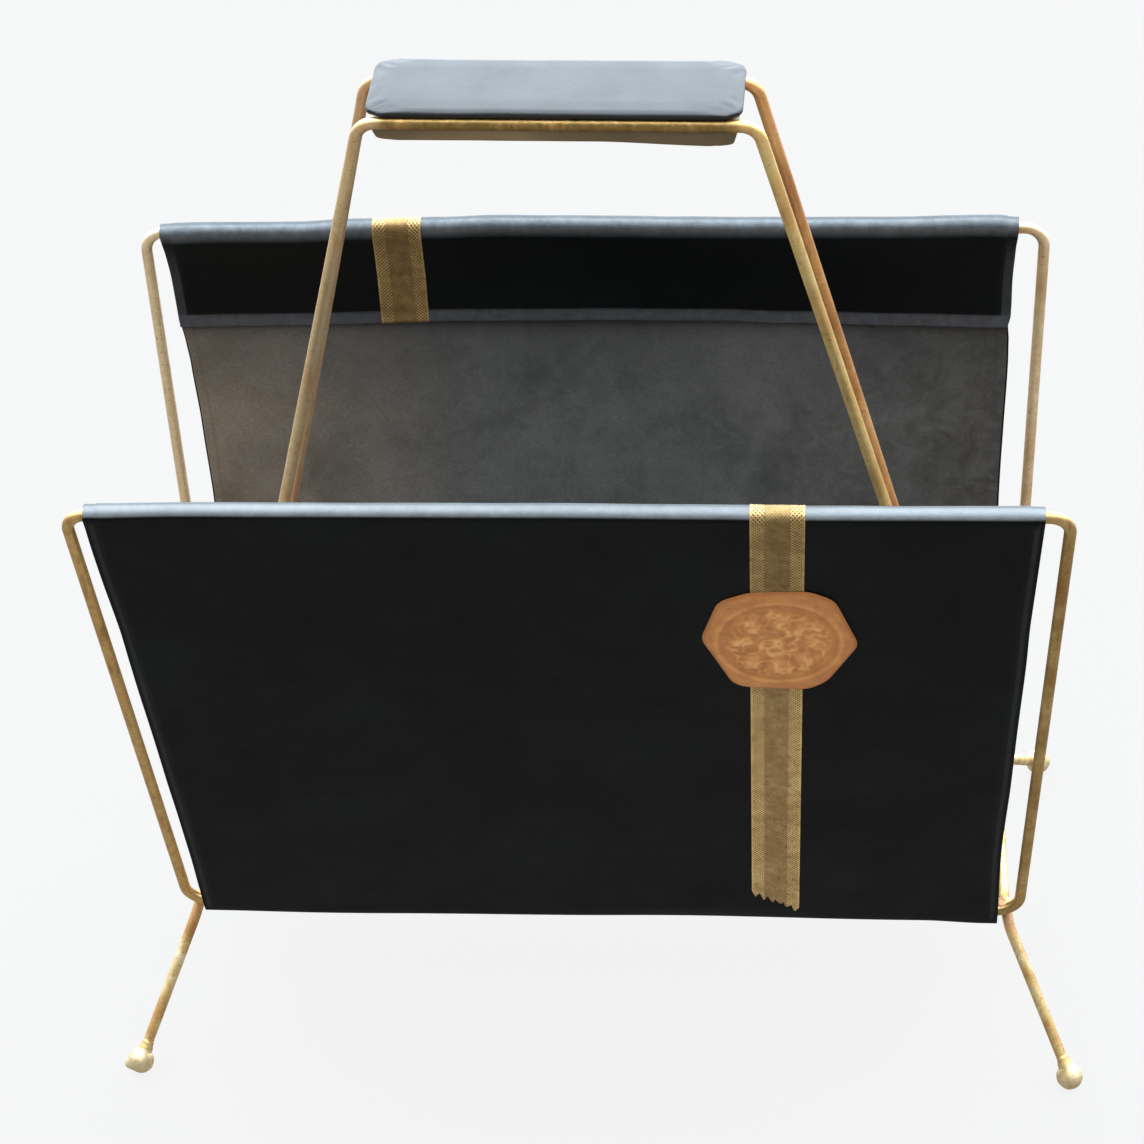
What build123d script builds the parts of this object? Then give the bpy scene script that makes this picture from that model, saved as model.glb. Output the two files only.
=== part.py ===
from build123d import *
import os
from math import atan2, cos, hypot, radians, sin, tan

# Magazine rack: a brazed wire frame carries a folded leatherette sling, and two
# wires rise between the two pockets to a padded grip.
# Millimetres. +X along the length, +Y to the back, +Z up.
# The origin is on the floor, at the centre between the four feet.

os.makedirs("parts", exist_ok=True)

# ---------------------------------------------------------------- driving sizes
WIRE = 5.0                      # wire gauge of frames, legs and handle
R = WIRE / 2

# Frame loops: one leans out to the front and one to the back.
TOP_HALF_WIDTH = 200.0
TOP_HALF_DEPTH = 96.0
TOP_HEIGHT = 349.2
BASE_HALF_WIDTH = 195.0
BASE_HALF_DEPTH = 52.9
BASE_HEIGHT = 68.6
TOP_BEND = 9.0
BASE_BEND = 12.0

# Leg hoops: foot, knee, side rail, knee, foot.
RAIL_HALF_WIDTH = 188.5
RAIL_HALF_LENGTH = 45.0
RAIL_HEIGHT = 70.0
KNEE_BEND = 7.5
LEG_BEND = 40.0
LEG_BEND_HALF_WIDTH = {-1: 193.0, 1: 191.2}     # left, right
LEG_BEND_DEPTH = 54.3
LEG_BEND_HEIGHT = 59.1
FRONT_FOOT = (219.5, 99.5)      # half spread along X and along Y
REAR_FOOT = (215.5, 104.0)
FOOT_RADIUS = 6.2
FOOT_CENTRE = 5.9               # a small flat is worn under each ball
SOCKET = 0.05                   # radial room for the wire in a ball foot

# Handle: two hand-bent wires, close together at the rails and apart at the grip.
HANDLE_TOP = 479.3
HANDLE_TWIST = radians(-1.7)    # the grip is turned a little about Z
HANDLE_HALF_SPACING = 15.3
FRONT_HANDLE_CORNERS = (-77.6, 77.2)
REAR_HANDLE_CORNERS = (-78.0, 76.2)
HANDLE_BASE = 74.2
HANDLE_BASE_HALF_SPACING = 2.7
FRONT_HANDLE_BASE = (-185.5, 185.5)
REAR_HANDLE_BASE = (-178.5, 185.5)
HANDLE_BEND = 8.5

# Grip: a spacer between the wires, and a pad above and below it.
GRIP_TOP_SIZE = (149.0, 39.0, 3.2)
GRIP_BASE_SIZE = (141.5, 37.0, 5.0)
GRIP_SHIFT = 3.4                # the pads reach further past the rear wire
GRIP_CORNER = 6.0
GRIP_GAP = 0.2
CORE_SIZE = (138.0, 24.8)
CORE_CORNER = 3.0

# Sling: leatherette outside, felt inside, hems folded in over the top wires.
COVER = 1.0
LINING = 0.8
LAYER_GAP = 0.3
CREASE = 0.2                    # how much tighter the inside of a fold is bent
HEM_DEPTH = 48.0
LINING_START = 6.0              # the lining ends this far below the top wire
LINING_CLEAR = 0.1              # extra room under the fold for the lining's edge
SLING_TOP = (-192.0, 189.0)     # side edges at the top wires
SLING_BASE_HALF = 185.0
HEM_RADIUS = R + LAYER_GAP + COVER / 2
LINING_RADIUS = R + LAYER_GAP + LINING / 2
COVER_RADIUS = R + LAYER_GAP + LINING + LAYER_GAP + COVER / 2

# Foil ribbon and seal, printed on both outer faces.
FOIL = 0.2
FOIL_GAP = 0.1
RIBBON_CENTRE = 85.5
RIBBON_WIDTH = 21.8
RIBBON_END = 278.0              # down the face from the top wire, long side
RIBBON_SLANT = 16.0             # how much shorter the other side is
RIBBON_TEETH = 7
TOOTH = 4.0
TOOTH_SHARE = 0.6               # of its width that each tooth slants over
SEAL_DROP = 74.5                # down the face from the top wire to the centre
SEAL_THICKNESS = 0.8
SEAL_RELIEF = 0.4
SEAL_RING = 26.0
SEAL_RING_WIDTH = 1.2
SEAL_CORNER = 3.0
PETALS = 8
PETAL_REACH = 15.0
PETAL_SIZE = (6.5, 2.6)

# The seal is a disc with uneven sides, like pressed wax. Local x, y from its centre.
SEAL_OUTLINE = [
    (-32.0, 1.5), (-24.5, 26.0), (-11.5, 32.0), (12.0, 32.8),
    (22.7, 27.0), (32.8, -2.0), (20.0, -26.8), (12.0, -32.5),
    (-12.3, -31.4), (-19.0, -29.4),
]

# Brazed joints.
BEAD = 4.4                      # radius of a bead at a knee
HANDLE_BEAD = 5.5               # and of the larger one at the handle wires
HANDLE_BEAD_INSET = 5.0         # its centre, inwards from the rail
HANDLE_BEAD_RISE = 3.0

# ---------------------------------------------------------------- derived places
LEAN = atan2(TOP_HALF_DEPTH - BASE_HALF_DEPTH, TOP_HEIGHT - BASE_HEIGHT)
FACE_LENGTH = hypot(TOP_HALF_DEPTH - BASE_HALF_DEPTH, TOP_HEIGHT - BASE_HEIGHT)


def frame_plane(side):
    """Plane of a frame loop: local x along the length, local y up the slope."""
    return Plane(
        origin=(0, side * BASE_HALF_DEPTH, BASE_HEIGHT),
        x_dir=(1, 0, 0),
        z_dir=(0, -cos(LEAN), side * sin(LEAN)),
    )


def face_plane(side, drop, proud):
    """Outer face of a panel: `drop` down from the top wire, `proud` outside it.
    Local x runs along the length and local y up the slope, seen from outside."""
    rise = FACE_LENGTH - drop
    return Plane(
        origin=(
            0,
            side * (BASE_HALF_DEPTH + rise * sin(LEAN) + proud * cos(LEAN)),
            BASE_HEIGHT + rise * cos(LEAN) - proud * sin(LEAN),
        ),
        x_dir=(-side, 0, 0),
        z_dir=(0, side * cos(LEAN), -sin(LEAN)),
    )


def section_point(drop, proud):
    """Point of the rear half section (Y, Z), measured from the top wire."""
    rise = FACE_LENGTH - drop
    return (
        BASE_HALF_DEPTH + rise * sin(LEAN) + proud * cos(LEAN),
        BASE_HEIGHT + rise * cos(LEAN) - proud * sin(LEAN),
    )


def base_corner(radius):
    """Where the rear face meets the bottom, `radius` outside the base wire."""
    slope = (radius - radius * sin(LEAN)) / cos(LEAN)
    return (BASE_HALF_DEPTH + slope, BASE_HEIGHT - radius)


def front_of(points):
    """The same section points on the front half, in reverse order."""
    return [(-y, z) for y, z in reversed(points)]


def finish(builder, name):
    """Name a finished piece and write it."""
    builder.part.label = name
    export_step(builder.part, f"parts/{name}.step")


def wire_along(points, radius, plane=Plane.XY, closed=False):
    """A round wire bent through points of a plane, with its corners rounded."""
    with BuildPart() as wire:
        with BuildLine(plane) as route:
            FilletPolyline(*points, radius=radius, close=closed)
        with BuildSketch(Plane(origin=route.line @ 0, z_dir=route.line % 0)):
            Circle(R)
        sweep()
    return wire


# ---------------------------------------------------------------- frame loops
def frame_loop(side):
    """A closed loop of wire with four bends, leaning out to one side."""
    corners = [
        (BASE_HALF_WIDTH, 0),
        (TOP_HALF_WIDTH, FACE_LENGTH),
        (-TOP_HALF_WIDTH, FACE_LENGTH),
        (-BASE_HALF_WIDTH, 0),
    ]
    bends = [BASE_BEND, TOP_BEND, TOP_BEND, BASE_BEND]
    return wire_along(corners, bends, frame_plane(side), closed=True)


front_frame = frame_loop(-1)
finish(front_frame, "front_frame")
rear_frame = frame_loop(1)
finish(rear_frame, "rear_frame")


# ---------------------------------------------------------------- leg hoops
def foot_points(side):
    """Centres of the front and the rear ball foot on one side."""
    front = (side * FRONT_FOOT[0], -FRONT_FOOT[1], FOOT_CENTRE)
    rear = (side * REAR_FOOT[0], REAR_FOOT[1], FOOT_CENTRE)
    return front, rear


def knee_point(side, end):
    return (side * RAIL_HALF_WIDTH, end * RAIL_HALF_LENGTH, RAIL_HEIGHT)


def leg_bend(side, end):
    """Where a leg, which drops from its knee first, starts to splay."""
    return (side * LEG_BEND_HALF_WIDTH[side], end * LEG_BEND_DEPTH, LEG_BEND_HEIGHT)


def leg_hoop(side):
    front, rear = foot_points(side)
    points = [
        front,
        leg_bend(side, -1),
        knee_point(side, -1),
        knee_point(side, 1),
        leg_bend(side, 1),
        rear,
    ]
    return wire_along(points, [LEG_BEND, KNEE_BEND, KNEE_BEND, LEG_BEND])


left_leg_hoop = leg_hoop(-1)
finish(left_leg_hoop, "left_leg_hoop")
right_leg_hoop = leg_hoop(1)
finish(right_leg_hoop, "right_leg_hoop")


# ---------------------------------------------------------------- ball feet
def ball_foot(centre, bend):
    """A ball, drilled to its centre for the end of the leg, with a flat below."""
    along_leg = Plane(origin=centre, z_dir=Vector(*bend) - Vector(*centre))
    with BuildPart() as ball:
        with Locations(centre):
            Sphere(FOOT_RADIUS)
        with BuildSketch(along_leg):
            Circle(R + SOCKET)
        extrude(amount=2 * FOOT_RADIUS, mode=Mode.SUBTRACT)
        split(bisect_by=Plane.XY, keep=Keep.TOP)
    return ball


for side, side_name in ((-1, "left"), (1, "right")):
    for end, end_name in ((-1, "front"), (1, "rear")):
        centre = foot_points(side)[0 if end < 0 else 1]
        foot = ball_foot(centre, leg_bend(side, end))
        finish(foot, f"{end_name}_{side_name}_foot")


# ---------------------------------------------------------------- handle wires
def handle_wire(side, corners, base):
    """One wire, from a rail over the grip to the other rail."""
    left, right = corners
    base_y = side * HANDLE_BASE_HALF_SPACING
    top_y = side * HANDLE_HALF_SPACING
    return wire_along(
        [
            (base[0], base_y, HANDLE_BASE),
            (left, top_y + left * tan(HANDLE_TWIST), HANDLE_TOP),
            (right, top_y + right * tan(HANDLE_TWIST), HANDLE_TOP),
            (base[1], base_y, HANDLE_BASE),
        ],
        HANDLE_BEND,
    )


front_handle_wire = handle_wire(-1, FRONT_HANDLE_CORNERS, FRONT_HANDLE_BASE)
finish(front_handle_wire, "front_handle_wire")
rear_handle_wire = handle_wire(1, REAR_HANDLE_CORNERS, REAR_HANDLE_BASE)
finish(rear_handle_wire, "rear_handle_wire")


# ---------------------------------------------------------------- grip
def grip_plane(height, shift):
    """A level plane, turned with the grip and `shift` to the back of its middle."""
    return Plane(
        origin=(0, shift, height),
        x_dir=(cos(HANDLE_TWIST), sin(HANDLE_TWIST), 0),
        z_dir=(0, 0, 1),
    )


def grip_pad(base, size, crowned_face):
    """A pad with rounded corners, softened round one of its two faces."""
    length, depth, thickness = size
    with BuildPart() as pad:
        with BuildSketch(grip_plane(base, GRIP_SHIFT)):
            RectangleRounded(length, depth, GRIP_CORNER)
        extrude(amount=thickness)
        fillet(pad.faces().sort_by(Axis.Z)[crowned_face].edges(), thickness / 2)
    return pad


grip_top_cover = grip_pad(HANDLE_TOP + R + GRIP_GAP, GRIP_TOP_SIZE, -1)
finish(grip_top_cover, "grip_top_cover")
grip_base_cover = grip_pad(HANDLE_TOP - R - GRIP_GAP - GRIP_BASE_SIZE[2], GRIP_BASE_SIZE, 0)
finish(grip_base_cover, "grip_base_cover")

with BuildPart() as grip_core:
    with BuildSketch(grip_plane(HANDLE_TOP - R, 0)):
        RectangleRounded(*CORE_SIZE, CORE_CORNER)
    extrude(amount=WIRE)
finish(grip_core, "grip_core")


# ---------------------------------------------------------------- sling
def side_edges(base_half, top_edges, low, high):
    """Outline of the sling seen from the front, between two heights."""
    def edge(z, top):
        share = (z - BASE_HEIGHT) / (TOP_HEIGHT - BASE_HEIGHT)
        return base_half + (top - base_half) * share

    left = -edge(low, -top_edges[0]), -edge(high, -top_edges[0])
    right = edge(low, top_edges[1]), edge(high, top_edges[1])
    return [(left[0], low), (right[0], low), (right[1], high), (left[1], high)]


def sheet_along(points, bends, thickness):
    """A sheet of even thickness along a section, trimmed to the sling's outline."""
    low = min(z for _, z in points) - thickness
    high = max(z for _, z in points) + thickness
    with BuildPart() as sheet:
        with BuildSketch(Plane.YZ):
            with BuildLine():
                FilletPolyline(*points, radius=bends)
            trace(line_width=thickness)
        extrude(amount=TOP_HALF_WIDTH, both=True)
        with BuildSketch(Plane.XZ):
            with BuildLine():
                Polyline(*side_edges(SLING_BASE_HALF, SLING_TOP, low, high), close=True)
            make_face()
        extrude(amount=2 * TOP_HALF_DEPTH, both=True, mode=Mode.INTERSECT)
    return sheet


# A hem lies on the lining at its lower edge and clears the wire at its fold.
hem_edge_offset = LINING_RADIUS - LAYER_GAP - (COVER + LINING) / 2
hem_edge_offset -= HEM_RADIUS - LINING_RADIUS
cover_half = [
    base_corner(COVER_RADIUS),
    section_point(-HEM_RADIUS, HEM_RADIUS),
    section_point(-HEM_RADIUS, -HEM_RADIUS),
    section_point(HEM_DEPTH, hem_edge_offset - COVER),
]
cover_bends = (HEM_RADIUS - CREASE, HEM_RADIUS - CREASE, COVER_RADIUS)
sling_cover = sheet_along(
    front_of(cover_half) + cover_half,
    [*cover_bends, *reversed(cover_bends)],
    COVER,
)
finish(sling_cover, "sling_cover")

lining_top = HEM_RADIUS - (COVER + LINING) / 2 - LAYER_GAP - LINING_CLEAR
lining_half = [base_corner(LINING_RADIUS), section_point(LINING_START, lining_top)]
sling_lining = sheet_along(
    front_of(lining_half) + lining_half, [LINING_RADIUS, LINING_RADIUS], LINING
)
finish(sling_lining, "sling_lining")

# ---------------------------------------------------------------- ribbons, seals
foil_fold = HEM_RADIUS + (COVER + FOIL) / 2 + FOIL_GAP
foil_base = COVER_RADIUS + (COVER + FOIL) / 2 + FOIL_GAP
foil_low = foil_fold + (foil_base - foil_fold) * RIBBON_END / FACE_LENGTH


def ribbon(side):
    """A foil strip: up the hem, over the fold and down the outer face."""
    section = [
        section_point(HEM_DEPTH, hem_edge_offset - COVER - (COVER + FOIL) / 2 - FOIL_GAP),
        section_point(-foil_fold, -foil_fold),
        section_point(-foil_fold, foil_fold),
        section_point(RIBBON_END, foil_low),
    ]
    if side < 0:
        section = front_of(section)
    centre = -side * RIBBON_CENTRE
    teeth_face = face_plane(side, RIBBON_END, 0)
    tooth_width = RIBBON_WIDTH / RIBBON_TEETH
    notches = []
    for tooth in range(RIBBON_TEETH + 1):
        across = -RIBBON_WIDTH / 2 + tooth * tooth_width
        up = RIBBON_SLANT * (RIBBON_TEETH - tooth) / RIBBON_TEETH
        notches.append((RIBBON_CENTRE + across, up + TOOTH))
        if tooth < RIBBON_TEETH:
            notches.append((RIBBON_CENTRE + across + tooth_width * TOOTH_SHARE, up))
    low_left = (RIBBON_CENTRE - RIBBON_WIDTH, -2 * TOOTH)
    low_right = (RIBBON_CENTRE + RIBBON_WIDTH, -2 * TOOTH)
    with BuildPart() as strip:
        with BuildSketch(Plane.YZ.offset(centre)):
            with BuildLine():
                FilletPolyline(*section, radius=foil_fold - CREASE)
            trace(line_width=FOIL)
        extrude(amount=RIBBON_WIDTH / 2, both=True)
        with BuildSketch(teeth_face):
            with BuildLine():
                Polyline(low_left, *notches, low_right, close=True)
            make_face()
        extrude(amount=2 * COVER_RADIUS + COVER, mode=Mode.SUBTRACT)
    return strip


front_ribbon = ribbon(-1)
finish(front_ribbon, "front_ribbon")
rear_ribbon = ribbon(1)
finish(rear_ribbon, "rear_ribbon")


def seal(side):
    """A disc with a raised ring and a raised rosette of petals."""
    proud = HEM_RADIUS + (COVER_RADIUS - HEM_RADIUS) * SEAL_DROP / FACE_LENGTH
    proud += COVER / 2 + FOIL + 3 * FOIL_GAP
    plane = face_plane(side, SEAL_DROP, proud)
    raised = plane.offset(SEAL_THICKNESS)
    with BuildPart() as disc:
        with BuildSketch(plane):
            with Locations((RIBBON_CENTRE, 0)):
                Polygon(*SEAL_OUTLINE, align=None)
            fillet(vertices(), SEAL_CORNER)
        extrude(amount=SEAL_THICKNESS)
        with BuildSketch(raised):
            with Locations((RIBBON_CENTRE, 0)):
                Circle(SEAL_RING)
                Circle(SEAL_RING - SEAL_RING_WIDTH, mode=Mode.SUBTRACT)
                Circle(PETAL_SIZE[0] / 2)
                with PolarLocations(PETAL_REACH, PETALS):
                    Ellipse(*PETAL_SIZE)
        extrude(amount=SEAL_RELIEF)
    return disc


front_seal = seal(-1)
finish(front_seal, "front_seal")
rear_seal = seal(1)
finish(rear_seal, "rear_seal")


# ---------------------------------------------------------------- brazed joints
def braze(centre, radius, wires):
    """A bead of braze round a contact, fitted to the wires it joins."""
    with BuildPart() as bead:
        with Locations(centre):
            Sphere(radius)
        for wire in wires:
            add(wire.part, mode=Mode.SUBTRACT)
    return bead


hoops = {-1: left_leg_hoop, 1: right_leg_hoop}
frames = {-1: front_frame, 1: rear_frame}

for side, side_name in ((-1, "left"), (1, "right")):
    for end, end_name in ((-1, "front"), (1, "rear")):
        contact = (
            side * RAIL_HALF_WIDTH,
            end * (BASE_HALF_DEPTH + RAIL_HALF_LENGTH + R) / 2,
            (BASE_HEIGHT + RAIL_HEIGHT) / 2,
        )
        bead = braze(contact, BEAD, [hoops[side], frames[end]])
        finish(bead, f"{end_name}_{side_name}_braze")
    contact = (side * (RAIL_HALF_WIDTH - HANDLE_BEAD_INSET), 0, RAIL_HEIGHT + HANDLE_BEAD_RISE)
    wires = [hoops[side], front_handle_wire, rear_handle_wire]
    bead = braze(contact, HANDLE_BEAD, wires)
    finish(bead, f"{side_name}_handle_braze")
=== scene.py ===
import bpy
import math
from mathutils import Matrix, Vector, noise


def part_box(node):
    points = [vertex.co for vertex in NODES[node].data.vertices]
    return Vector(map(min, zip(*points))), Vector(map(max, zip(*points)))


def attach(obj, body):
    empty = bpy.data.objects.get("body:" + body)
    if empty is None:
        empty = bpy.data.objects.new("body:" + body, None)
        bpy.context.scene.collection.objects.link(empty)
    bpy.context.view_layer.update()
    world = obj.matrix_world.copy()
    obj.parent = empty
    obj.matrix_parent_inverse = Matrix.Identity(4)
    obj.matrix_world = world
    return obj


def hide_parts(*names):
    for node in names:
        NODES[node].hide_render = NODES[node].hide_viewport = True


# Looks of a magazine rack: gilt wire frame, black leatherette sling, padded grip.
# Metres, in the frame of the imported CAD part. +X along the length, +Y to the back.

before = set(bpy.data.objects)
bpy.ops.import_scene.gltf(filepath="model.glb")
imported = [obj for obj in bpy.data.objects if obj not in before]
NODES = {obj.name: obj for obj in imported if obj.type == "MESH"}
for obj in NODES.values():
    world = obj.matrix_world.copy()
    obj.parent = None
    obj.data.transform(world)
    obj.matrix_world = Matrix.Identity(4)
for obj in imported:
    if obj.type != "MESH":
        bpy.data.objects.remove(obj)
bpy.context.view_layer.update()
MM = 0.001

# ------------ sizes
WIRE = 2.5 * MM             # radius of every wire
low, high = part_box("front_frame")
TOP_Z = high.z - WIRE       # centre lines of the frame's two long bars
BASE_Z = low.z + WIRE
TOP_Y = -low.y - WIRE
BASE_Y = -high.y + WIRE
LEAN = math.atan2(TOP_Y - BASE_Y, TOP_Z - BASE_Z)
FACE = math.hypot(TOP_Y - BASE_Y, TOP_Z - BASE_Z)

HANDLE_TOP = 479.3 * MM     # centre line of the handle wires at the grip
GRIP_HALF = 72 * MM         # half length of the grip along them
KNEE_HEIGHT = 70 * MM
LEG_BEND = Vector((192.1, 54.3, 59.1)) * MM  # where a leg starts to splay
FOOT_RADIUS = 6.2 * MM

COVER = 1.0 * MM            # leatherette
LINING = 0.8 * MM           # felt
FOLD_RADIUS = 3.8 * MM      # outside of the cover over a top wire
FOLD_SQUARE = 2.5           # how square that fold is: 2 is round
FOLD_SWELL = {-1: 0.9 * MM, 1: 1.2 * MM}  # how much fuller it is inside, front and rear
PUFF_REACH = 13 * MM        # how far down the loose part of a fold reaches
BASE_RADIUS = 4.9 * MM      # outside of the cover round a base wire
BASE_SAG = 3.0 * MM         # of the cover between the base wires
END_SAG = 1.6 * MM          # the right end of the base hangs lower
HEM = 48 * MM               # depth of the hem that is folded in
HEM_REST = 0.4 * MM         # how far outside the wires its lower edge lies
HEM_SETTLES = 34 * MM       # drop over which it comes down to the panel
FLANGE = 4.2 * MM           # width of the pressed border along the sides
HEM_FLANGE = 6.0 * MM       # and of the one along a hem's lower edge
FLANGE_STEP = 0.55 * MM     # how deep it is pressed
WOBBLE = 0.45 * MM          # of the cut edges
SIDE_HIGHLIGHT = 0.25            # how strong the painted highlight on the pressed borders of the faces is
HEM_SIDE_HIGHLIGHT = 0.5         # and on those at the hems' ends
FOLD_TOP = 0.25             # upward part of the normal where the glossier fold material, with its painted highlight, starts
CROWN_HIGHLIGHT = 0.30           # how strong the painted highlight on the crown of the rear fold is
HIGHLIGHT_REACH = 4.0 * MM        # how far down inside the rear hem the painted highlight and the rear fold's material reach

# Half widths of the sling, left and right, at some drops below the top wire.
FRONT_EDGE = (
    (0.000, 0.1918, 0.1894), (0.075, 0.1893, 0.1873), (0.180, 0.1880, 0.1856),
    (0.235, 0.1871, 0.1844), (0.284, 0.1868, 0.1852),
)
REAR_EDGE = (
    (0.000, 0.1920, 0.1882), (0.010, 0.1911, 0.1873), (0.023, 0.1904, 0.1869),
    (0.042, 0.1898, 0.1870), (0.048, 0.1894, 0.1857), (0.057, 0.1882, 0.1865),
    (0.068, 0.1872, 0.1867), (0.100, 0.1857, 0.1859), (0.140, 0.1842, 0.1851),
    (0.284, 0.1850, 0.1852),
)
# How far the loose fold stands above its wire, as (x, height).
FRONT_PUFF = (
    (-0.192, -0.0004), (-0.150, 0.0005), (0.000, 0.0004), (0.050, -0.0001),
    (0.100, -0.0006), (0.192, -0.0006),
)
REAR_PUFF = (
    (-0.192, -0.0003), (-0.170, 0.0004), (-0.130, 0.0004), (-0.105, 0.0019),
    (-0.065, 0.0026), (-0.042, 0.0034), (-0.015, 0.0031), (0.013, 0.0026),
    (0.040, 0.0020), (0.068, 0.0016), (0.130, 0.0014), (0.177, 0.0021), (0.188, 0.0012),
)
# How far the rear hem's lower edge lies above its mean line, along the length.
REAR_HEM_RISE = (
    (-0.192, -0.0010), (-0.150, -0.0004), (-0.051, 0.0019), (0.004, 0.0021),
    (0.058, 0.0015), (0.086, 0.0003), (0.140, -0.0011), (0.188, -0.0023),
)

RIBBON_X = 85.4 * MM        # centre of the ribbon, right of the middle
RIBBON_WIDTH = 21.8 * MM
RIBBON_DRIFT = -2.6 * MM    # it runs a little askew
RIBBON_LONG = 278 * MM      # down the face, on its long side
RIBBON_SLANT = 14 * MM      # and so much less on the other
RIBBON_TEETH = 6
RIBBON_TOOTH = 4.4 * MM     # depth of the teeth of its torn end
HATCH_PITCH = 1.70 * MM     # of the foil's leaning lines
WEAVE_PITCH = (1.25 * MM, 1.20 * MM)  # of its weave, along and across
RIBBON_LIFT = 0.26 * MM     # above the cover
RIBBON_THICK = 0.12 * MM
SEAL_DROP = 74.5 * MM
SEAL_LIFT = 0.30 * MM


# ------------ small helpers
def smoothstep(x):
    x = min(1.0, max(0.0, x))
    return x * x * (3 - 2 * x)


def mix(a, b, t):
    return a + (b - a) * t


def rough(point, size, seed=0.0):
    """Smooth noise between -1 and 1, with features of about `size`."""
    return noise.noise(Vector(point) / size + Vector((seed, 7.3 * seed, 1.9 * seed)))


def mesh_piece(name, verts, faces, materials, picks=None):
    """A smooth-shaded mesh that rides on the rack."""
    mesh = bpy.data.meshes.new(name)
    mesh.from_pydata([tuple(v) for v in verts], [], faces)
    for material in materials:
        mesh.materials.append(material)
    for index, polygon in enumerate(mesh.polygons):
        polygon.use_smooth = True
        if picks:
            polygon.material_index = picks[index]
    mesh.update()
    piece = bpy.data.objects.new(name, mesh)
    bpy.context.scene.collection.objects.link(piece)
    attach(piece, "root")
    return piece


def grid(rows, cols, closed=False, first=0):
    """Quads of a grid of rows x cols points that starts at point `first`; closed joins
    the last column to the first."""
    faces = []
    for r in range(rows - 1):
        a = first + r * cols
        b = a + cols
        for c in range(cols if closed else cols - 1):
            d = (c + 1) % cols
            faces.append((a + c, a + d, b + d, b + c))
    return faces


def flipped(faces):
    return [tuple(reversed(f)) for f in faces]


def turns(count):
    """Angles of a full turn in equal steps."""
    return [2 * math.pi * k / count for k in range(count)]


def apply_modifiers(piece):
    """Bake a piece's modifiers into its mesh."""
    graph = bpy.context.evaluated_depsgraph_get()
    baked = bpy.data.meshes.new_from_object(piece.evaluated_get(graph))
    piece.modifiers.clear()
    piece.data = baked


def thicken(piece, thickness):
    """Give a sheet its thickness, on its inner side, and bake it in."""
    solid = piece.modifiers.new("thickness", "SOLIDIFY")
    solid.thickness = thickness
    solid.offset = -1.0
    solid.use_even_offset = True
    apply_modifiers(piece)


# ------------ materials
def fill_ramp(node, stops):
    """Give a colour ramp its stops, each a position and a grey or a colour."""
    elements = node.color_ramp.elements
    while len(elements) < len(stops):
        elements.new(0.5)
    for element, (position, colour) in zip(elements, stops):
        element.position = position
        shade = colour if isinstance(colour, tuple) else (colour,) * 3
        element.color = (*shade, 1)


class Nodes:
    """A short way to write a node material."""

    def __init__(self, name):
        self.material = bpy.data.materials.new(name)
        self.material.use_nodes = True
        self.tree = self.material.node_tree
        self.shader = self.tree.nodes["Principled BSDF"]
        self.place = self.add("ShaderNodeTexCoord").outputs["Object"]

    def add(self, kind, **settings):
        node = self.tree.nodes.new(kind)
        for key, value in settings.items():
            setattr(node, key, value)
        return node

    def link(self, source, target):
        self.tree.links.new(source, target)

    def put(self, node, socket, value):
        """Set a socket to a number or link it to another socket."""
        if isinstance(value, bpy.types.NodeSocket):
            self.link(value, node.inputs[socket])
        else:
            node.inputs[socket].default_value = value

    def noise(self, size, detail=3.0, roughness=0.55, place=None, distortion=0.0):
        node = self.add("ShaderNodeTexNoise")
        self.put(node, "Vector", place or self.place)
        self.put(node, "Scale", 1 / size)
        self.put(node, "Detail", detail)
        self.put(node, "Roughness", roughness)
        self.put(node, "Distortion", distortion)
        return node.outputs["Fac"]

    def cells(self, size, feature="F1"):
        node = self.add("ShaderNodeTexVoronoi", feature=feature)
        self.put(node, "Vector", self.place)
        self.put(node, "Scale", 1 / size)
        return node.outputs["Distance"]

    def ramp(self, value, stops):
        node = self.add("ShaderNodeValToRGB")
        self.link(value, node.inputs["Fac"])
        fill_ramp(node, stops)
        return node.outputs["Color"]

    def blend(self, factor, first, second, mode="MIX"):
        node = self.add("ShaderNodeMix", data_type="RGBA", blend_type=mode)
        self.put(node, "Factor", factor)
        for socket, value in ((6, first), (7, second)):     # its two colours
            self.put(node, socket, (*value, 1) if isinstance(value, tuple) else value)
        return node.outputs[2]

    def math(self, operation, first, second=0.0):
        node = self.add("ShaderNodeMath", operation=operation)
        self.put(node, 0, first)
        self.put(node, 1, second)
        return node.outputs[0]

    def bump(self, height, strength, distance, below=None):
        node = self.add("ShaderNodeBump")
        self.put(node, "Strength", strength)
        self.put(node, "Distance", distance)
        self.link(height, node.inputs["Height"])
        if below is not None:
            self.link(below, node.inputs["Normal"])
        return node.outputs["Normal"]

    def axes(self, place=None):
        """Separate outputs X, Y and Z of a place."""
        node = self.add("ShaderNodeSeparateXYZ")
        self.link(place or self.place, node.inputs[0])
        return node.outputs

    def stretched(self, scale):
        """The place with its axes scaled."""
        node = self.add("ShaderNodeMapping")
        self.put(node, "Vector", self.place)
        self.put(node, "Scale", scale)
        return node.outputs["Vector"]

    def finish(self, colour, roughness, normal=None, settings=None):
        """Link the maps, and set plain values on the shader's own sockets."""
        self.link(colour, self.shader.inputs["Base Color"])
        self.put(self.shader, "Roughness", roughness)
        if normal is not None:
            self.link(normal, self.shader.inputs["Normal"])
        for socket, value in (settings or {}).items():
            self.put(self.shader, socket, value)
        return self.material


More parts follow.
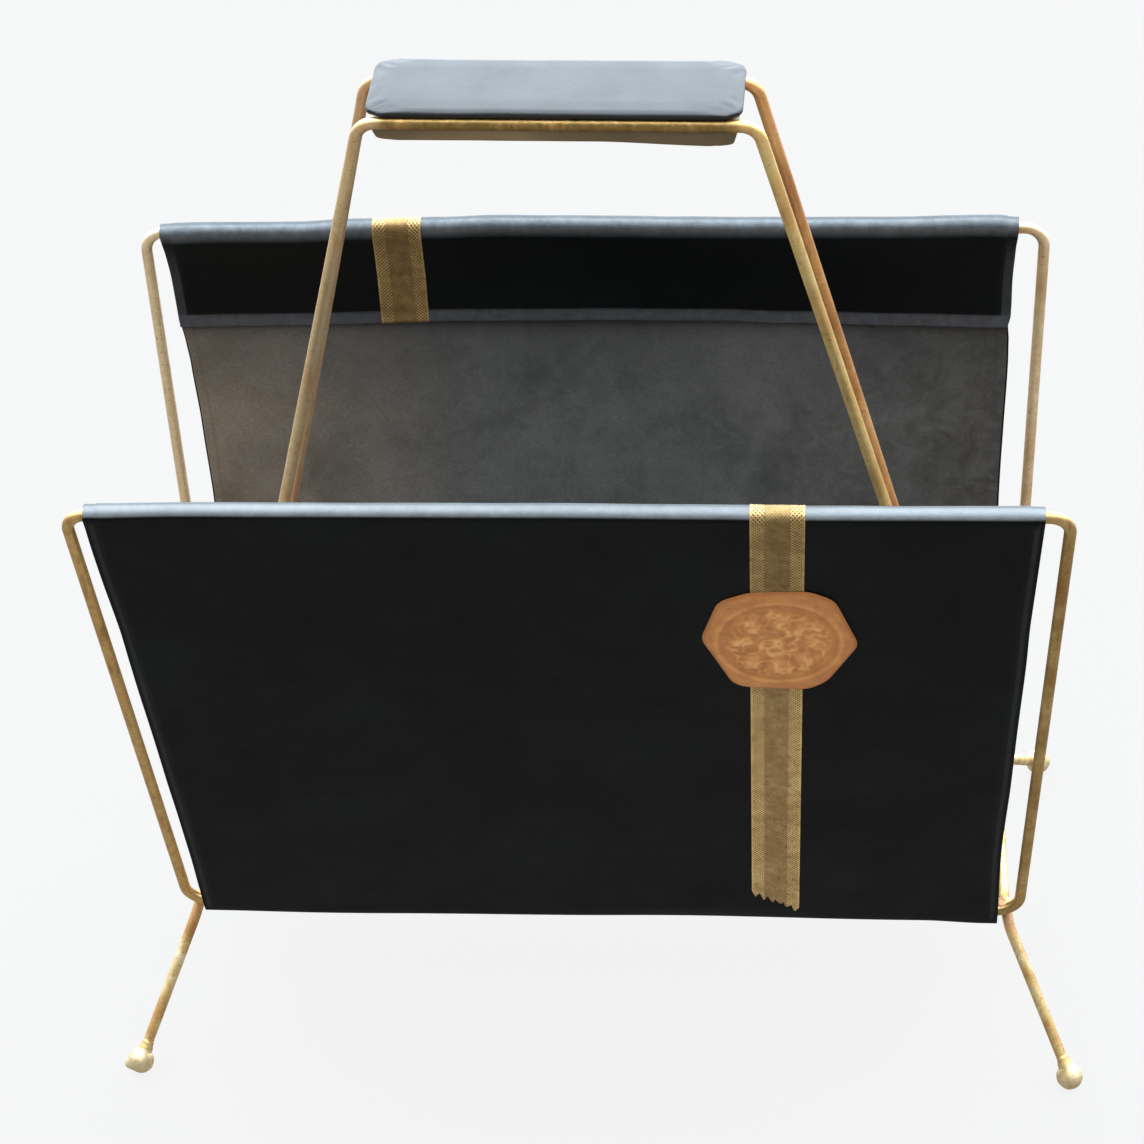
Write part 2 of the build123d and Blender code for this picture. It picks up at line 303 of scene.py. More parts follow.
def brass(name, bright, body, patina, spots, patch=0.030, shine=(0.28, 0.50),
          left=None, metal=1.0, knee=None, shade_under_grip=None):
    """Aged brass: a warm body, bright polished areas, brown patina and small dark pits.
    left is a tint that comes in towards the left end of the object, knee one that comes
    in towards the height of the knees, the one along the grip a painted shade on the wires
    under the grip pad, and metal is less than 1 under a dull film."""
    m = Nodes(name)
    clouds = m.noise(patch, 4, 0.6)
    speckle = m.noise(0.0035, 5, 0.7)
    pits = m.noise(0.0012, 2, 0.5)
    colour = m.ramp(clouds, [(0.32, patina), (0.50, body), (0.72, bright)])
    x, _, z = m.axes()
    if left:
        share = m.math("MULTIPLY", x, -8.0)
        colour = m.blend(m.ramp(share, [(0.15, 0.0), (0.85, 0.75)]), colour, left)
    if knee:
        share = m.math("DIVIDE", z, KNEE_HEIGHT)
        shown = [(0.80, 0.0), (0.88, 0.75), (0.96, 0.45), (1.0, 0.0)]
        colour = m.blend(m.ramp(share, shown), colour, knee)
    # Painted shade: the handle wires are darkened under the grip pad, where it shades them.
    if shade_under_grip:
        high_up = m.math("DIVIDE", z, HANDLE_TOP)
        high_up = m.ramp(high_up, [(0.985, 0.0), (0.990, 1.0)])
        inside = m.math("DIVIDE", m.math("ABSOLUTE", x), GRIP_HALF)
        inside = m.ramp(inside, [(0.93, 1.0), (1.0, 0.0)])
        colour = m.blend(m.math("MULTIPLY", high_up, inside), colour, shade_under_grip)
    rust = m.noise(0.0045, 4, 0.65, m.stretched((1, 1, 0.22)))
    colour = m.blend(m.ramp(rust, [(0.52, 0.0), (0.70, 0.65)]), colour, patina)
    colour = m.blend(m.ramp(speckle, [(0.42, 0.0), (0.70, spots)]), colour, patina)
    colour = m.blend(m.ramp(pits, [(0.62, 0.0), (0.75, 0.55)]), colour, (0.06, 0.035, 0.015))
    roughness = m.ramp(speckle, [(0.3, shine[0]), (0.75, shine[1])])
    fine = m.bump(pits, 0.25, 0.00012)
    normal = m.bump(m.noise(0.006, 4, 0.6), 0.35, 0.00030, fine)
    return m.finish(colour, roughness, normal, {"Metallic": metal})


def leatherette(name, base, roughness, specular, grain=0.55, wear_and_highlight=None, plain=None,
                coat=None):
    """Black coated cloth with a fine pressed grain, scuffs and faint dust. Its paler colour
    for the attribute border, if given, is painted highlight where border is high, and plain
    the specular level where it is low, if that differs; coat is an extra gloss where it is high."""
    m = Nodes(name)
    tint = m.ramp(m.noise(0.060, 3, 0.5), [
        (0.35, tuple(0.70 * c for c in base)),
        (0.55, base),
        (0.75, tuple(1.8 * c for c in base)),
    ])
    dust = m.ramp(m.noise(0.0016, 3, 0.6), [(0.64, 0.0), (0.82, 0.20)])
    colour = m.blend(dust, tint, (0.030, 0.031, 0.032))
    scuff = m.ramp(m.noise(0.009, 5, 0.75, distortion=1.2), [(0.66, 0.0), (0.80, 0.35)])
    colour = m.blend(scuff, colour, (0.020, 0.021, 0.022))
    pebble = m.cells(0.00085)
    crease = m.cells(0.0022, "DISTANCE_TO_EDGE")
    normal = m.bump(pebble, grain, 0.00010)
    normal = m.bump(m.ramp(crease, [(0.0, 0.0), (0.12, 1.0)]), grain * 0.5, 0.00006, normal)
    normal = m.bump(m.noise(0.012, 2, 0.4), 0.25, 0.00040, normal)
    rough_map = m.ramp(m.noise(0.020, 4, 0.6), [(0.3, roughness[0]), (0.7, roughness[1])])
    # Painted highlight: a paler colour, broken into patches, where the attribute border is high, on
    # the pressed borders and the tops of the folds.
    if wear_and_highlight:
        border = m.add("ShaderNodeAttribute", attribute_name="border").outputs["Fac"]
        patches = m.ramp(m.noise(0.005, 4, 0.7), [(0.30, 0.6), (0.65, 1.0)])
        colour = m.blend(m.math("MULTIPLY", border, patches), colour, wear_and_highlight)
    m.finish(colour, rough_map, normal, {"Specular IOR Level": specular})
    if plain:
        level = m.ramp(border, [(0.0, plain), (0.8, specular)])
        m.put(m.shader, "Specular IOR Level", level)
    if coat:
        m.put(m.shader, "Coat Weight", m.ramp(border, [(0.4, 0.0), (1.0, coat)]))
        m.put(m.shader, "Coat Roughness", 0.50)
    return m.material


def felt(name):
    """Mottled grey backing cloth, browner towards its two ends, with painted shade under the hems.
    """
    m = Nodes(name)
    x, _, z = m.axes()
    share = m.math("DIVIDE", x, 0.19)
    left = m.ramp(m.math("MULTIPLY", share, -1.0), [(0.30, 0.0), (0.95, 1.0)])
    right = m.ramp(share, [(0.35, 0.0), (1.0, 1.0)])
    # Painted shade: the felt darkens towards the top, under the hems, where they shade it.
    hem = m.math("SUBTRACT", z, TOP_Z - 0.095)
    hem = m.ramp(m.math("DIVIDE", hem, 0.050), [(0.0, 0.0), (0.78, 0.40), (1.0, 0.85)])
    wash = m.noise(0.045, 5, 0.65, distortion=0.4)
    fibre = m.noise(0.0011, 4, 0.75)
    smoke = m.noise(0.012, 4, 0.7, distortion=0.8)
    colour = m.ramp(wash, [(0.30, (0.070, 0.069, 0.066)), (0.70, (0.150, 0.148, 0.142))])
    light_brown = m.ramp(wash, [(0.30, (0.160, 0.116, 0.074)), (0.70, (0.300, 0.232, 0.156))])
    dark_brown = m.ramp(wash, [(0.30, (0.034, 0.029, 0.023)), (0.70, (0.066, 0.058, 0.049))])
    colour = m.blend(left, colour, light_brown)
    colour = m.blend(right, colour, dark_brown)
    colour = m.blend(m.ramp(smoke, [(0.40, 0.0), (0.75, 0.40)]), colour, (0.220, 0.216, 0.206))
    colour = m.blend(m.ramp(fibre, [(0.35, 0.45), (0.70, 0.0)]), colour, (0.036, 0.036, 0.036))
    colour = m.blend(hem, colour, (0.020, 0.020, 0.021))
    normal = m.bump(fibre, 0.6, 0.00025)
    normal = m.bump(m.noise(0.004, 3, 0.6), 0.4, 0.00030, normal)
    return m.finish(colour, 0.92, normal, {
        "Specular IOR Level": 0.15, "Sheen Weight": 0.15, "Sheen Roughness": 0.6})


def gold_foil(name):
    """Foil print in the pattern of a woven ribbon: hatched borders, a mottled middle.
    The piece's own map runs in metres, u across from the middle and v along."""
    m = Nodes(name)
    u, v, _ = m.axes(m.add("ShaderNodeUVMap", uv_map="ribbon").outputs["UV"])
    off = m.math("ABSOLUTE", u)
    pitch = 2 * math.pi / HATCH_PITCH
    lean_left = m.math("SINE", m.math("MULTIPLY", m.math("ADD", off, v), pitch))
    lean_right = m.math("SINE", m.math("MULTIPLY", m.math("SUBTRACT", off, v), pitch * 1.02))
    weave = m.math("SINE", m.math("MULTIPLY", v, 2 * math.pi / WEAVE_PITCH[0]))
    weft = m.math("SINE", m.math("MULTIPLY", u, 2 * math.pi / WEAVE_PITCH[1]))
    hatching = m.math("MAXIMUM", lean_left, m.math("MULTIPLY", lean_right, 0.45))
    tabby = m.math("MULTIPLY", weave, weft)
    share = m.math("DIVIDE", off, 0.5 * RIBBON_WIDTH)
    border = m.ramp(share, [(0.42, 0.0), (0.50, 1.0)])
    selvedge = m.ramp(share, [(0.90, 0.0), (0.95, 1.0)])
    threads = m.add("ShaderNodeMix", data_type="FLOAT")
    m.put(threads, 0, border)
    m.link(tabby, threads.inputs[2])
    m.link(hatching, threads.inputs[3])
    ink = m.ramp(threads.outputs[0], [(0.18, 0.0), (0.42, 1.0)])
    wear_and_highlight = m.noise(0.0042, 4, 0.7)
    light = (0.70, 0.50, 0.21)
    deep = (0.15, 0.085, 0.026)
    middle = m.ramp(wear_and_highlight, [(0.35, deep), (0.70, tuple(0.62 * c for c in light))])
    hatch = m.blend(ink, deep, light)
    colour = m.blend(border, m.blend(0.45, middle, hatch), hatch)
    colour = m.blend(m.math("MULTIPLY", selvedge, 0.6), colour, light)
    blotch = m.ramp(m.noise(0.011, 5, 0.75), [(0.38, 0.55), (0.62, 0.0)])
    colour = m.blend(blotch, colour, (0.20, 0.115, 0.035))
    fresh = m.ramp(m.math("DIVIDE", v, RIBBON_LONG), [(0.45, 0.0), (0.70, 0.45)])
    colour = m.blend(fresh, colour, m.blend(1.0, colour, (2.3, 2.3, 2.5), "MULTIPLY"))
    specks = m.ramp(m.noise(0.0013, 3, 0.7), [(0.56, 0.0), (0.70, 0.6)])
    colour = m.blend(specks, colour, deep)
    stains = m.ramp(m.noise(0.0050, 4, 0.8), [(0.56, 0.0), (0.68, 0.6)])
    colour = m.blend(stains, colour, deep)
    normal = m.bump(ink, 0.35, 0.00008)
    roughness = m.ramp(wear_and_highlight, [(0.3, 0.38), (0.7, 0.58)])
    return m.finish(colour, roughness, normal, {"Metallic": 0.72})


def copper_seal(name):
    """Copper-coloured relief, lighter on its crests and darker in its hollows."""
    m = Nodes(name)
    relief = m.add("ShaderNodeAttribute", attribute_name="relief").outputs["Fac"]
    stain = m.noise(0.009, 4, 0.6)
    colour = m.ramp(relief, [
        (0.10, (0.40, 0.145, 0.036)), (0.45, (0.61, 0.260, 0.074)), (0.90, (0.86, 0.46, 0.17)),
    ])
    colour = m.blend(m.ramp(stain, [(0.50, 0.0), (0.78, 0.55)]), colour, (0.56, 0.17, 0.065))
    glint = m.ramp(m.noise(0.0018, 3, 0.6), [(0.55, 0.0), (0.8, 0.3)])
    colour = m.blend(glint, colour, (0.70, 0.40, 0.14))
    normal = m.bump(m.noise(0.0011, 3, 0.6), 0.30, 0.00012)
    roughness = m.ramp(stain, [(0.3, 0.42), (0.7, 0.60)])
    return m.finish(colour, roughness, normal, {"Metallic": 0.25, "Specular IOR Level": 0.45})


def wood(name):
    """Plain wood with its grain along X."""
    m = Nodes(name)
    grain = m.noise(0.0016, 4, 0.6, m.stretched((0.08, 1, 1)))
    colour = m.ramp(grain, [(0.3, (0.10, 0.055, 0.025)), (0.7, (0.27, 0.17, 0.085))])
    return m.finish(colour, 0.7, m.bump(grain, 0.4, 0.0002))


SIDE_BRASS = brass(
    "side_brass", (0.68, 0.48, 0.21), (0.47, 0.31, 0.105), (0.32, 0.145, 0.040), 0.50,
    left=(0.78, 0.50, 0.19), metal=0.80)
REAR_BRASS = brass(
    "rear_brass", (0.96, 0.78, 0.50), (0.86, 0.63, 0.37), (0.62, 0.38, 0.19), 0.40,
    left=(0.96, 0.76, 0.48), metal=0.70)
# The handle wires carry a painted shade under the grip pad.
FRONT_HANDLE_BRASS = brass(
    "front_handle_brass", (0.98, 0.76, 0.34), (0.92, 0.62, 0.23), (0.66, 0.36, 0.13), 0.35,
    left=(0.74, 0.58, 0.38), metal=0.74, shade_under_grip=(0.24, 0.15, 0.042))
REAR_HANDLE_BRASS = brass(
    "rear_handle_brass", (0.92, 0.56, 0.25), (0.82, 0.44, 0.17), (0.56, 0.26, 0.11), 0.45,
    left=(0.64, 0.48, 0.31), metal=0.74, shade_under_grip=(0.21, 0.12, 0.050))
LEG_BRASS = brass(
    "leg_brass", (0.96, 0.84, 0.54), (0.72, 0.52, 0.22), (0.50, 0.25, 0.080), 0.50,
    patch=0.016, shine=(0.44, 0.64), metal=0.80, knee=(0.72, 0.36, 0.18))
FOOT_BRASS = brass(
    "foot_brass", (0.76, 0.62, 0.39), (0.68, 0.54, 0.32), (0.46, 0.32, 0.14), 0.45,
    patch=0.008, shine=(0.46, 0.62), metal=0.62)
BRAZE = brass(
    "braze", (0.80, 0.52, 0.30), (0.62, 0.33, 0.16), (0.42, 0.17, 0.075), 0.5,
    patch=0.007, shine=(0.42, 0.62), metal=0.7)
# Where the attribute border is high these sheets get a painted highlight: grey-blue on the pressed
# borders, paler and bluish on the tops of the folds.
PANEL = leatherette(
    "leatherette", (0.0016, 0.0024, 0.0025), (0.44, 0.56), 0.125, wear_and_highlight=(0.075, 0.077, 0.084))
FOLD = leatherette(
    "leatherette_fold", (0.0030, 0.0034, 0.0040), (0.44, 0.56), 0.95, 0.35,
    wear_and_highlight=(0.110, 0.124, 0.131), plain=0.11, coat=0.35)
REAR_FOLD = leatherette(
    "leatherette_rear_fold", (0.0030, 0.0034, 0.0040), (0.50, 0.62), 0.28, 0.35,
    wear_and_highlight=(0.185, 0.207, 0.222), plain=0.11)
GRIP = leatherette("grip_leatherette", (0.0040, 0.0044, 0.0048), (0.36, 0.46), 0.54, 0.30)
# The lower pad's brown base colour is a painted brownish reflection on its dark leatherette.
GRIP_BASE = leatherette("grip_base_leatherette", (0.185, 0.125, 0.056), (0.40, 0.52), 0.50, 0.4)
FELT = felt("lining_felt")
FOIL = gold_foil("gold_foil")
COPPER = copper_seal("copper_seal")
WOOD = wood("core_wood")

for node, material in (
        ("front_frame", SIDE_BRASS), ("rear_frame", REAR_BRASS),
        ("left_leg_hoop", LEG_BRASS), ("right_leg_hoop", LEG_BRASS),
        ("front_handle_wire", FRONT_HANDLE_BRASS), ("rear_handle_wire", REAR_HANDLE_BRASS),
        ("grip_core", WOOD)):
    slots = NODES[node].data.materials
    slots.clear()
    slots.append(material)


# ------------ the sling
def face_point(drop, proud):
    """(y, z) on the rear half: `drop` below the top wire, `proud` outside the wires."""
    rise = FACE - drop
    y = BASE_Y + rise * math.sin(LEAN) + proud * math.cos(LEAN)
    z = BASE_Z + rise * math.cos(LEAN) - proud * math.sin(LEAN)
    return y, z


def hem_proud(drop):
    """How far outside the wires' plane the hem's face lies, on the inside."""
    return mix(-FOLD_RADIUS, HEM_REST, smoothstep(drop / HEM_SETTLES) ** 0.8)


def half_section():
    """Points of the cover's outer face from the middle of the base to the hem's edge.
    Each is (y, z, drop, part), and part is base, face, fold or hem."""
    points = []
    base_steps, corner_steps, face_steps, fold_steps, hem_steps = 22, 6, 80, 28, 34
    for step in range(base_steps):
        share = step / base_steps
        y = BASE_Y * share
        sag = BASE_SAG * math.cos(share * math.pi / 2) ** 1.5
        points.append((y, BASE_Z - BASE_RADIUS - sag, FACE, "base"))
    for step in range(corner_steps + 1):
        angle = -math.pi / 2 + (math.pi / 2 - LEAN) * step / corner_steps
        y = BASE_Y + BASE_RADIUS * math.cos(angle)
        z = BASE_Z + BASE_RADIUS * math.sin(angle)
        points.append((y, z, FACE, "base"))
    for step in range(1, face_steps):
        share = step / face_steps
        drop = FACE * (1 - share)
        proud = mix(BASE_RADIUS, FOLD_RADIUS, share)
        points.append((*face_point(drop, proud), drop, "face"))
    for step in range(fold_steps + 1):
        angle = math.pi * step / fold_steps
        out, up = math.cos(angle), math.sin(angle)
        size = FOLD_RADIUS / (abs(out) ** FOLD_SQUARE + up ** FOLD_SQUARE) ** (1 / FOLD_SQUARE)
        y = TOP_Y + size * (out * math.cos(LEAN) + up * math.sin(LEAN))
        z = TOP_Z + size * (up * math.cos(LEAN) - out * math.sin(LEAN))
        points.append((y, z, 0.0, "fold"))
    for step in range(1, hem_steps + 1):
        share = step / hem_steps
        drop = HEM * (1 - (1 - share) ** 1.35)
        points.append((*face_point(drop, hem_proud(drop)), drop, "hem"))
    return points


def whole_section():
    """The section from the front hem's edge to the rear one's."""
    half = half_section()
    front = [(-y, z, drop, part) for y, z, drop, part in reversed(half[1:])]
    return front + half


SECTION = whole_section()


def lengths(points):
    total, out = 0.0, [0.0]
    for a, b in zip(points, points[1:]):
        total += math.hypot(b[0] - a[0], b[1] - a[1])
        out.append(total)
    return out


ALONG = lengths(SECTION)
TOTAL = ALONG[-1]


def edge_at(y, drop):
    """Left and right half width of the sling on the half that y lies on."""
    table = FRONT_EDGE if y < 0 else REAR_EDGE
    for (d0, l0, r0), (d1, l1, r1) in zip(table, table[1:]):
        if drop <= d1:
            t = (drop - d0) / (d1 - d0)
            t = 0.5 * (smoothstep(t) + t)
            return mix(l0, l1, t), mix(r0, r1, t)
    return table[-1][1], table[-1][2]


def section_frame(index):
    """Outward normal (y, z) of the cover's outer face at a section point."""
    a = SECTION[max(0, index - 1)]
    b = SECTION[min(len(SECTION) - 1, index + 1)]
    ty, tz = b[0] - a[0], b[1] - a[1]
    size = math.hypot(ty, tz)
    return tz / size, -ty / size


NORMALS = [section_frame(i) for i in range(len(SECTION))]


def along_table(table, x):
    """Smooth value of a table of (x, value) at x."""
    for (x0, v0), (x1, v1) in zip(table, table[1:]):
        if x <= x1:
            return mix(v0, v1, smoothstep((x - x0) / (x1 - x0)))
    return table[-1][1]


def border_height(from_side, from_hem):
    """Height of the face near a pressed border, from the two edges' distances."""
    near = min(from_side, from_hem * FLANGE / HEM_FLANGE)
    step = smoothstep((near - FLANGE) / (1.1 * MM))
    swell = math.exp(-(((near - FLANGE - 3 * MM) / (3.2 * MM)) ** 2))
    return -FLANGE_STEP * (1 - step) + 0.18 * MM * swell * step


def cover_point(index, x, left, right):
    """A point of the cover's outer face with its pressed borders and slight waves."""
    y, z, drop, part = SECTION[index]
    ny, nz = NORMALS[index]
    from_side = min(left + x, right - x)
    from_hem = min(ALONG[index], TOTAL - ALONG[index])
    lift = border_height(from_side, from_hem)
    if part == "fold":
        lift *= 0.35
    elif part == "base":
        lift = 0.0
    elif part == "face":
        lift *= smoothstep((FACE - drop) / (12 * MM))
    wave = {"face": 0.55, "hem": 0.30, "base": 0.8, "fold": 0.12}[part] * MM
    calm = smoothstep(min(drop, FACE - drop) / (40 * MM)) if part == "face" else 1.0
    lift += wave * calm * rough((x, y * 0.6, z * 0.8), 0.085, 3.1)
    if part in ("fold", "hem"):
        lift += 0.16 * MM * rough((x, 0.0, from_hem), 0.022, 9.0)
        inward = 0.5 - 0.5 * math.copysign(ny, y * ny)
        swelling = FOLD_SWELL[1 if y > 0 else -1]
        lift += swelling * smoothstep(inward) * math.exp(-((drop / (9 * MM)) ** 2))
    if part in ("base", "face"):
        low = math.exp(-((FACE - drop) / (14 * MM)) ** 2)
        z -= END_SAG * smoothstep((x - 0.150) / 0.030) * low
    if part == "hem" and y > 0:
        rise = along_table(REAR_HEM_RISE, x) * smoothstep(drop / HEM)
        y, z = y + rise * math.sin(LEAN), z + rise * math.cos(LEAN)
    puff = along_table(FRONT_PUFF if y < 0 else REAR_PUFF, x)
    puff *= math.exp(-((drop / PUFF_REACH) ** 2)) if part != "base" else 0.0
    return Vector((x, y + ny * lift, z + nz * lift + puff))


def painted_highlight(index, x, left, right):
    """How much painted highlight shows at a point, from 0 to 1: on the pressed borders, on
    the upward tops of the folds, most on their sides towards the front, and inside the rear hem's
    top."""
    y, _, drop, part = SECTION[index]
    side = min(left + x, right - x)
    end = min(ALONG[index], TOTAL - ALONG[index]) * FLANGE / HEM_FLANGE
    rear_inside = y > 0 and NORMALS[index][0] < 0
    if part == "face":
        return SIDE_HIGHLIGHT * smoothstep((side - 1.2 * MM) / (0.5 * MM)) * (
            1 - smoothstep((side - 3.4 * MM) / (0.7 * MM)))
    if part == "hem":
        strip = 1 - smoothstep((end - FLANGE + 0.3 * MM) / (0.6 * MM))
        border = 1 - smoothstep((side - FLANGE + 0.3 * MM) / (0.6 * MM))
        border *= HEM_SIDE_HIGHLIGHT * smoothstep(drop / (20 * MM))
        # Painted highlight just inside the top of the rear hem.
        rear_hem_highlight = (1 - smoothstep(drop / HIGHLIGHT_REACH)) if rear_inside else 0.0
        return max(strip, border, 0.5 * rear_hem_highlight)
    crown = NORMALS[index][0]
    if part == "fold" and rear_inside:
        fade = 1 - 0.5 * smoothstep((-crown - 0.75) / 0.25)
        return fade * mix(CROWN_HIGHLIGHT, 1.0, smoothstep(-crown / 0.5))
    if part == "fold" and y > 0:
        return CROWN_HIGHLIGHT * smoothstep((NORMALS[index][1] - 0.30) / 0.35)
    if part == "fold":
        shade = mix(1.0, 0.30, smoothstep((crown + 0.15) / 0.5))
        return shade * smoothstep((NORMALS[index][1] - 0.30) / 0.35)
    return 0.0


def cut_edges(index):
    """Left and right half width at a section point; hand-cut, so never quite straight."""
    edges = edge_at(SECTION[index][0], SECTION[index][2])
    return [edge + WOBBLE * rough((ALONG[index], side, 0.0), 0.034, 5.5)
            for side, edge in zip((-1, 1), edges)]


def side_columns(coarse):
    """Shares of the width from 0 to 1, dense near both edges."""
    fine = [0.0, 0.6, 1.3, 2.1, 2.8, 3.4, 3.9, 4.4, 5.0, 6.0, 7.5, 9.5, 12.0, 16.0]
    width = 377.0
    shares = [f / width for f in fine]
    first, last = shares[-1], 1 - shares[-1]
    middle = [mix(first, last, i / coarse) for i in range(1, coarse)]
    return shares + middle + [1 - s for s in reversed(shares)]


def cover_slot(index):
    """Material slot at a section point: 0 the face, 1 and 2 the front and rear folds."""
    y, _, drop, part = SECTION[index]
    if part == "fold" and NORMALS[index][1] > FOLD_TOP:
        return 1 if y < 0 else 2
    inside = part in ("fold", "hem") and y > 0 and NORMALS[index][0] < 0
    return 2 if inside and drop < HIGHLIGHT_REACH else 0


def build_cover():
    """The leatherette's outer face, a grid over the whole section."""
    columns = side_columns(84)
    verts, picks, highlight_shares = [], [], []
    for index in range(len(SECTION)):
        left, right = cut_edges(index)
        for share in columns:
            x = mix(-left, right, share)
            verts.append(cover_point(index, x, left, right))
            highlight_shares.append(painted_highlight(index, x, left, right))
    faces = flipped(grid(len(SECTION), len(columns)))
    for face in faces:
        rows = min(face) // len(columns), max(face) // len(columns)
        picks.append(min(cover_slot(row) for row in rows))
    piece = mesh_piece("cover_sheet", verts, faces, [PANEL, FOLD, REAR_FOLD], picks)
    # The attribute border holds the share of painted highlight at each point.
    layer = piece.data.attributes.new("border", "FLOAT", "POINT")
    layer.data.foreach_set("value", highlight_shares)
    return piece


cover = build_cover()
thicken(cover, COVER)
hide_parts("sling_cover")


def build_lining():
    """The felt side, from under one hem round the base to under the other."""
    start = 6 * MM
    picked = [i for i, p in enumerate(SECTION)
              if p[3] == "base" or (p[3] == "face" and p[2] > start)]
    columns = side_columns(60)
    inset = 0.9 * MM
    gap = COVER + 0.12 * MM
    verts = []
    for index in picked:
        left, right = cut_edges(index)
        for share in columns:
            x = mix(inset - left, right - inset, share)
            outer = cover_point(index, x, left, right)
            verts.append(outer - Vector((0, *NORMALS[index])) * gap)
    faces = flipped(grid(len(picked), len(columns)))
    piece = mesh_piece("felt_lining", verts, faces, [FELT])
    thicken(piece, LINING)
    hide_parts("sling_lining")


build_lining()


# ------------ ribbons and seals
def section_at(distance):
    """(index, share) of a distance along the section."""
    for i in range(len(ALONG) - 1):
        if distance <= ALONG[i + 1]:
            return i, (distance - ALONG[i]) / (ALONG[i + 1] - ALONG[i])
    return len(ALONG) - 2, 1.0


def on_cover(distance, x, lift):
    """A point `lift` outside the cover, at a distance along the section."""
    i, share = section_at(distance)
    left, right = edge_at(SECTION[i][0], SECTION[i][2])
    a = cover_point(i, x, left, right)
    b = cover_point(i + 1, x, left, right)
    n = [mix(NORMALS[i][k], NORMALS[i + 1][k], share) for k in (0, 1)]
    return a.lerp(b, share) + Vector((0, n[0], n[1])).normalized() * lift


def distance_of(drop, front):
    """Distance along the section of the face point at a drop, on one half."""
    for distance, (y, _, height, part) in zip(ALONG, SECTION):
        if part == "face" and (y < 0) == front:
            if (front and height >= drop) or (not front and height <= drop):
                return distance
    raise ValueError(drop)


def tooth_shape(share):
    """How far a tooth of the torn end reaches, at a share of the width from 0 to 1."""
    place = share * RIBBON_TEETH
    inside = place - math.floor(place)
    return RIBBON_TOOTH * (1 - abs(2 * inside - 1) ** 1.4) * (0.75 + 0.25 * math.sin(5 * place))


def build_ribbon(front):
    """A strip of foil from the hem's edge, over the fold and down the face."""
    turn = 1 if front else -1
    hem_start = 0.0 if front else TOTAL
    long_end = distance_of(RIBBON_LONG, front)
    cols, rows = 61, 230
    verts, maps = [], []
    for r in range(rows):
        t = r / (rows - 1)
        for c in range(cols):
            u = c / (cols - 1)
            short = RIBBON_SLANT * (1 - u) + RIBBON_TOOTH - tooth_shape(u)
            span = abs(long_end - hem_start) - short
            run = span * t
            distance = hem_start + turn * run
            across = (u - 0.5) * RIBBON_WIDTH
            drift = RIBBON_DRIFT * max(0.0, run - HEM) / RIBBON_LONG
            x = turn * (RIBBON_X + across + drift)
            verts.append(on_cover(distance, x, RIBBON_LIFT))
            maps.append((across, run))
    faces = flipped(grid(rows, cols))
    piece = mesh_piece(
        "front_ribbon_foil" if front else "rear_ribbon_foil", verts, faces, [FOIL])
    layer = piece.data.uv_layers.new(name="ribbon")
    for loop in piece.data.loops:
        layer.data[loop.index].uv = maps[loop.vertex_index]
    thicken(piece, RIBBON_THICK)
    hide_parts("front_ribbon" if front else "rear_ribbon")


for front in (True, False):
    build_ribbon(front)

SEAL_CORNERS = (            # outline, in mm from the seal's centre
    (-32.0, 1.5), (-24.5, 26.0), (-11.5, 32.0), (12.0, 32.8),
    (22.7, 27.0), (32.8, -2.0), (20.0, -26.8), (12.0, -32.5),
    (-12.3, -31.4), (-19.0, -29.4),
)


def seal_reach(angle):
    """Distance from the seal's centre to its outline, with softened corners."""
    def plain(a):
        d = (math.cos(a), math.sin(a))
        best = 1e9
        for (x0, y0), (x1, y1) in zip(SEAL_CORNERS, SEAL_CORNERS[1:] + SEAL_CORNERS[:1]):
            ex, ey = x1 - x0, y1 - y0
            den = d[0] * ey - d[1] * ex
            if abs(den) < 1e-9:
                continue
            t = (x0 * ey - y0 * ex) / den
            s = (x0 * d[1] - y0 * d[0]) / den
            if t > 0 and -1e-6 <= s <= 1 + 1e-6:
                best = min(best, t)
        return best
    spread = [plain(angle + k * 0.035) for k in range(-3, 4)]
    return sum(spread) / len(spread) * MM


def seal_relief(x, y, edge):
    """Height from 0 to 1 of the seal's face at a point in mm from its centre; edge is
    the share of the way to the outline. A ring, a rosette of petals and fine veins."""
    radius, angle = math.hypot(x, y), math.atan2(y, x)
    ring = math.exp(-(((radius - 26.0) / 1.0) ** 2))
    groove = math.exp(-(((radius - 24.0) / 0.9) ** 2))
    petals = math.cos(4 * angle) ** 2 * math.exp(-(((radius - 13.5) / 5.2) ** 2))
    veins = 0.5 + 0.5 * math.sin(24 * angle + 1.1 * radius)
    leaf = math.exp(-(((radius - 18.6) / 2.0) ** 2)) * veins
    heart = math.exp(-((radius / 3.4) ** 2))
    scroll = 0.5 + 0.5 * math.sin(8 * angle - 0.9 * radius)
    scroll *= math.exp(-(((radius - 7.6) / 1.8) ** 2))
    lump = 0.16 * rough((x, y, 0.0), 6.0, 2.0) + 0.10 * rough((x, y, 4.0), 2.4, 6.0)
    high = 0.34 + 0.20 * ring - 0.10 * groove + 0.36 * petals + 0.26 * leaf
    high += 0.45 * heart + 0.30 * scroll + lump
    line = rough((x, y, 11.0), 6.5, 3.0) + 0.35 * rough((x, y, 2.0), 2.8, 8.0)
    inside = 1 - smoothstep((radius - 21.0) / 2.0)
    high += (0.31 * math.exp(-((line / 0.13) ** 2)) - 0.12) * inside
    rim = 1 - smoothstep((edge - 0.93) / 0.07)
    return max(0.0, min(1.0, high)) * (0.35 + 0.65 * rim)


